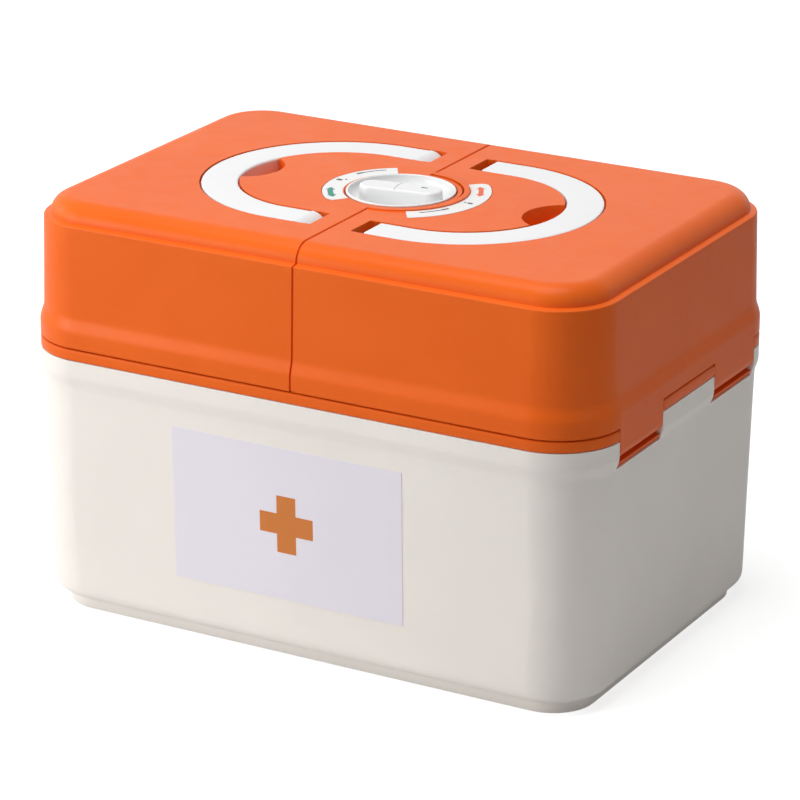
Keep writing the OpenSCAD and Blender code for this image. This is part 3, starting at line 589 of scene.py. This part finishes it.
def groove_tools():
    """Two wedges that cut the shallow groove along the top's seam, before and behind the dial."""
    wedge = [(-GROOVE_HALF, GROOVE_RISE), (GROOVE_HALF, GROOVE_RISE), (0.0, -GROOVE_DEPTH)]
    ends = [[(x, y, TOP_Z + z) for x, z in wedge]
            for y in (-BODY_HALF_D, -GROOVE_END, GROOVE_END, BODY_HALF_D)]
    return [skinned("groove_tool", ends[:2]), skinned("groove_tool", ends[2:])]


def reshape_lids():
    """The two doors with the fuller shoulder, a clear gap round the handle and a pocket for the wider
    scale plate."""
    for side, way in (("left", -1), ("right", 1)):
        lid = welded_copy(f"{side}_door_shell", f"{side}_lid")
        move_out(lid, shoulder(SHOULDER_SOLID), shoulder(SHOULDER_SHOWN),
                 SHOULDER_FOOT - 2 * SLACK, TOP_Z + SLACK)
        pocket = prism("pocket_tool", scale_plate_outline(**PLATES[side], gap=PLATE_GAP),
                       TOP_Z - PLATE_POCKET, TOP_Z + CLEAR_OF_TOP)
        gap = prism("gap_tool", handle_outline(way, HANDLE_GAP),
                    TOP_Z - HANDLE_GAP_DEPTH, TOP_Z + CLEAR_OF_TOP)
        cut_with(lid, [pocket, gap, *groove_tools()])
        finish(lid, orange_polypropylene)
        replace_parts(mount(lid, f"{side}_door"), f"{side}_lid")


def set_seam_strips():
    """The left door's lip behind the gap between the doors, so that the gap isn't open."""
    heights = ([DOOR_FOOT + LIP_FOOT] + [z for z, _ in DOOR_SIDE[2:-1]]
               + [SHOULDER_FOOT + SHOULDER_RISE * math.sin(math.pi / 2 * k / SHOULDER_STEPS)
                  for k in range(SHOULDER_STEPS + 1)])
    corners = ((LIP_LEFT, LIP_FACE), (LIP_RIGHT, LIP_FACE), (LIP_RIGHT, LIP_BACK), (LIP_LEFT, LIP_BACK))
    for end, way in (("front", -1), ("rear", 1)):
        line = [(way * (BODY_HALF_D - door_inset(z)), z) for z in heights] + [(way * LIP_END, TOP_Z)]
        rings = []
        for k, (y, z) in enumerate(line):
            y0, z0 = line[max(0, k - 1)]
            y1, z1 = line[min(len(line) - 1, k + 1)]
            span = math.hypot(y1 - y0, z1 - z0)
            in_y, in_z = -way * abs(z1 - z0) / span, -abs(y1 - y0) / span
            rings.append([(x, y + in_y * deep, z + in_z * deep) for x, deep in corners])
        strip = skinned(f"seam_lip_{end}", rings)
        finish(strip, orange_polypropylene)
        mount(strip, "left_door")


# Round the dial

def lifted(height):
    """Lifts a flat piece to a height above the floor, in millimetres."""
    def lay(point):
        return Vector((point.x, point.y, point.z + height * MM))
    return lay


def set_scale_plates():
    """The two white inlays beside the dial, each standing for its solid."""
    for side, size in PLATES.items():
        inlay = plate(f"{side}_scale_inlay", [scale_plate_outline(**size)], PLATE_THICK * MM, matt_abs,
                      lifted(TOP_Z + PLATE_PROUD - PLATE_THICK))
        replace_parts(mount(inlay, f"{side}_door"), f"{side}_scale_plate")


def print_scales():
    """The generic turning marks on the two inlays beside the dial."""
    marks = {
        "left_turn_arrow": (green_ink, [bent_arrow(31.6, 34.2, 200.5, 227, 6.0, 0.9)]),
        "left_long_mark": (dark_ink, [bent_bar(33.4, 34.1, 131, 151), bent_bar(33.1, 34.4, 151, 157)]),
        "left_short_marks": (dark_ink, [bent_bar(32.2, 35.0, 176.8, 180.0),
                                        bent_bar(30.6, 31.6, 173.8, 175.6)]),
        "right_turn_arrow": (orange_ink, [bent_arrow(36.1, 38.4, 15.0, 38.0, 5.0, 0.9)]),
        "right_long_mark": (dark_ink, [bent_bar(35.2, 35.9, 313, 331), bent_bar(34.9, 36.2, 331, 337)]),
        "right_short_marks": (dark_ink, [bent_bar(36.2, 38.8, 355.8, 358.2),
                                         bent_bar(34.4, 35.4, 356.2, 357.6)]),
    }
    for name, (ink, outlines) in marks.items():
        mark = plate(name, outlines, INK_THICKNESS, ink, lifted(TOP_Z + PLATE_PROUD))
        mount(mark, f"{name.split('_')[0]}_door")


def set_rims():
    """The cup's thicker wall round the dial and the broader collar on the other door."""
    cup, foot = CUP_RIM, CUP_RIM["foot"]
    inner, outer = circle(cup["inner"]), circle(cup["outer"])
    rim = lofted("cup_rim", [(inner, foot), (inner, TOP_Z - cup["drop"]),
                             (circle(cup["inner"] + cup["break"]), TOP_Z), (outer, TOP_Z), (outer, foot)],
                 closed_loop=True)
    collar = COLLAR_RIM
    edge = prism("collar_rim", bent_bar(collar["inner"], collar["outer"], -collar["end"], collar["end"]),
                 TOP_Z - collar["depth"], TOP_Z + collar["rise"])
    for piece, body in ((rim, "left_door"), (edge, "right_door")):
        finish(piece, orange_polypropylene)
        mount(piece, body)


def make_dial():
    """The turning dial: a shallow bowl on its spindle, with a raised grip that a fine line crosses."""
    side = [(radius, DIAL_TOP - deep) for radius, deep in DIAL_UNDERSIDE]
    for k in range(BOWL_STEPS, -1, -1):
        turn = math.pi / 2 * k / BOWL_STEPS
        side.append((BOWL_FLOOR + (DIAL_RADIUS - DIAL_RIM - BOWL_FLOOR) * math.sin(turn),
                     BOWL_LIP - BOWL_DEPTH * math.cos(turn)))
    bowl = lofted("dial_bowl", [(circle(radius), z) for radius, z in side])
    finish(bowl, dial_abs_painted_shade)
    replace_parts(mount(bowl, "dial"), "lock_dial")

    bowl_floor = BOWL_LIP - BOWL_DEPTH
    grip = lofted("dial_grip", [(pill(GRIP_FOOT), bowl_floor - GRIP_SUNK), (pill(GRIP_FOOT), bowl_floor)]
                  + [(pill(GRIP_HEAD - narrower), GRIP_TOP - deep) for narrower, deep in GRIP_ROUND])
    line = turned_with_grip((x + LINE_CENTRE, y)
                            for x, y in bent_bar(LINE_INNER, LINE_OUTER, LINE_START, LINE_END))
    cut_with(grip, [prism("line_tool", line, GRIP_TOP - LINE_DEPTH, GRIP_TOP + CLEAR_OF_TOP)])
    finish(grip, dial_abs_painted_shade)
    mount(grip, "dial")


def on_grip(point):
    """A point of the grip's own top; x along the grip, which stands turned in the dial."""
    turned = Matrix.Rotation(GRIP_TURN, 3, "Z") @ point
    return Vector((turned.x, turned.y, turned.z + GRIP_TOP * MM))


def print_pointer():
    """The small mark near one end of the dial's grip."""
    outline = [(9.6, 1.1), (12.7, 1.35), (12.7, 2.05), (9.6, 2.3)]
    mount(plate("dial_pointer", [outline], INK_THICKNESS, dark_ink, on_grip), "dial")


# The label

def label_place():
    """The label's width and height, its middle on the bin's shown front, and the directions up the wall
    and out of it."""
    low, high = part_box("front_label")
    height = (low.z + high.z) / 2 - LABEL_DROP
    step = 1.0
    lean = (SHOWN_SIDE(height / MM + step) - SHOWN_SIDE(height / MM - step)) / (2 * step)
    up = Vector((0.0, lean, 1.0)).normalized()
    out = Vector((0.0, -up.z, up.y))
    middle = Vector(((low.x + high.x) / 2 - LABEL_SHIFT, (SHOWN_SIDE(height / MM) - BODY_HALF_D) * MM,
                     height))
    return high.x - low.x, (high.z - low.z) / up.z, middle, up, out


def set_label():
    """The bare film on the front, with a plain cross printed on it."""
    width, height, middle, up, out = label_place()

    def against_bin(point):
        """A point laid on the bin's tilted front; x right, y up the label, z out of the wall."""
        return middle + Vector((point.x, 0.0, 0.0)) + up * point.y + out * point.z

    def on_label(point):
        return against_bin(point) + out * LABEL_FILM

    x, y = width / MM / 2, height / MM / 2
    film = plate("label_sheet", [[(-x, -y), (x, -y), (x, y), (-x, y)]], LABEL_FILM, lilac_vinyl,
                 against_bin)
    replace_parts(mount(film, "base"), "front_label")
    arm, bar = CROSS_ARM, CROSS_BAR
    cross = [(-bar, arm), (-bar, bar), (-arm, bar), (-arm, -bar), (-bar, -bar), (-bar, -arm),
             (bar, -arm), (bar, -bar), (arm, -bar), (arm, bar), (bar, bar), (bar, arm)]
    mount(plate("label_cross", [cross], INK_THICKNESS, cross_ink, on_label), "base")


dress_solids()
reshape_bin()
reshape_lids()
set_scale_plates()
print_scales()
set_seam_strips()
set_rims()
make_dial()
print_pointer()
set_label()


# Studio

def seen_by(tree, mirrored=1.0):
    """1 where the camera looks or glass lets it through, and mirrored where a surface mirrors."""
    path = add(tree, "ShaderNodeLightPath")
    mirror = figure(tree, "MULTIPLY", path.outputs["Is Glossy Ray"], mirrored)
    looked_at = figure(tree, "MAXIMUM", path.outputs["Is Camera Ray"], mirror)
    return figure(tree, "MAXIMUM", looked_at, path.outputs["Is Transmission Ray"])


def set_up_floor(half, grey, mirrored, near, far):
    """A pale floor that keeps the shadow. near and far give a distance and the glow that the camera sees
    there, so that the floor runs out into white."""
    mesh = bpy.data.meshes.new("studio_floor")
    mesh.from_pydata([(-half, -half, 0), (half, -half, 0), (half, half, 0), (-half, half, 0)], [],
                     [(0, 1, 2, 3)])
    floor = placed("studio_floor", mesh)
    material, tree = blank("pale_floor")
    diffuse = add(tree, "ShaderNodeBsdfDiffuse", {"Color": (grey, grey, grey, 1)})
    place = add(tree, "ShaderNodeTexCoord").outputs["Object"]
    away = add(tree, "ShaderNodeVectorMath", {0: place}, operation="LENGTH").outputs["Value"]
    rise = stretch(tree, away, near[0], far[0], near[1], far[1])
    lift = figure(tree, "MULTIPLY", seen_by(tree, mirrored), rise)
    glow = add(tree, "ShaderNodeEmission", {"Color": (1, 1, 1, 1), "Strength": lift})
    both = add(tree, "ShaderNodeAddShader", {0: diffuse.outputs["BSDF"], 1: glow.outputs["Emission"]})
    add(tree, "ShaderNodeOutputMaterial", {"Surface": both.outputs["Shader"]})
    mesh.materials.append(material)


def set_up_world(level):
    """An even white room: level for the light it gives, white where it is seen or mirrored."""
    world = bpy.data.worlds.new("white_room")
    bpy.context.scene.world = world
    world.use_nodes = True
    tree = world.node_tree
    tree.nodes.clear()
    strength = stretch(tree, seen_by(tree), 0.0, 1.0, level, 1.0)
    backdrop = add(tree, "ShaderNodeBackground", {"Color": (1, 1, 1, 1), "Strength": strength})
    add(tree, "ShaderNodeOutputWorld", {"Surface": backdrop.outputs["Background"]})


def soft_lamp(name, place, target, size, power):
    """A square soft box aimed at target."""
    lamp = bpy.data.lights.new(name, "AREA")
    lamp.shape = "SQUARE"
    lamp.size = size
    lamp.energy = power
    holder = bpy.data.objects.new(name, lamp)
    bpy.context.scene.collection.objects.link(holder)
    holder.location = place
    holder.rotation_euler = (Vector(target) - Vector(place)).to_track_quat("-Z", "Y").to_euler()


def set_up_camera():
    """The photograph's viewpoint, solved from the box's own edges."""
    lens = bpy.data.cameras.new("photo_view")
    lens.lens = 174.17
    lens.sensor_width = 36.0
    lens.shift_x = 0.04475
    lens.shift_y = -0.0065
    camera = bpy.data.objects.new("photo_view", lens)
    bpy.context.scene.collection.objects.link(camera)
    camera.location = (0.8398, -1.5038, 0.7279)
    camera.rotation_euler = (math.radians(70.0), 0.0, math.radians(29.75))
    bpy.context.scene.camera = camera


BOX_MIDDLE = (0.0, 0.0, 0.12)
BOX_LEFT_END = (-0.14, -0.05, 0.12)
set_up_floor(half=6.0, grey=0.66, mirrored=0.35, near=(0.5, 0.70), far=(1.3, 1.0))
set_up_world(level=0.17)
soft_lamp("top_light", (-0.10, -0.20, 1.40), BOX_MIDDLE, size=0.8, power=11.7)
soft_lamp("left_front_light", (-0.95, -1.00, 0.45), BOX_MIDDLE, size=0.6, power=9.5)
soft_lamp("right_light", (1.30, -0.30, 0.60), BOX_MIDDLE, size=0.7, power=1.3)
soft_lamp("left_rim_light", (-1.30, -0.25, 0.55), BOX_LEFT_END, size=0.6, power=3.5)
set_up_camera()
bpy.context.scene.view_settings.view_transform = "Standard"
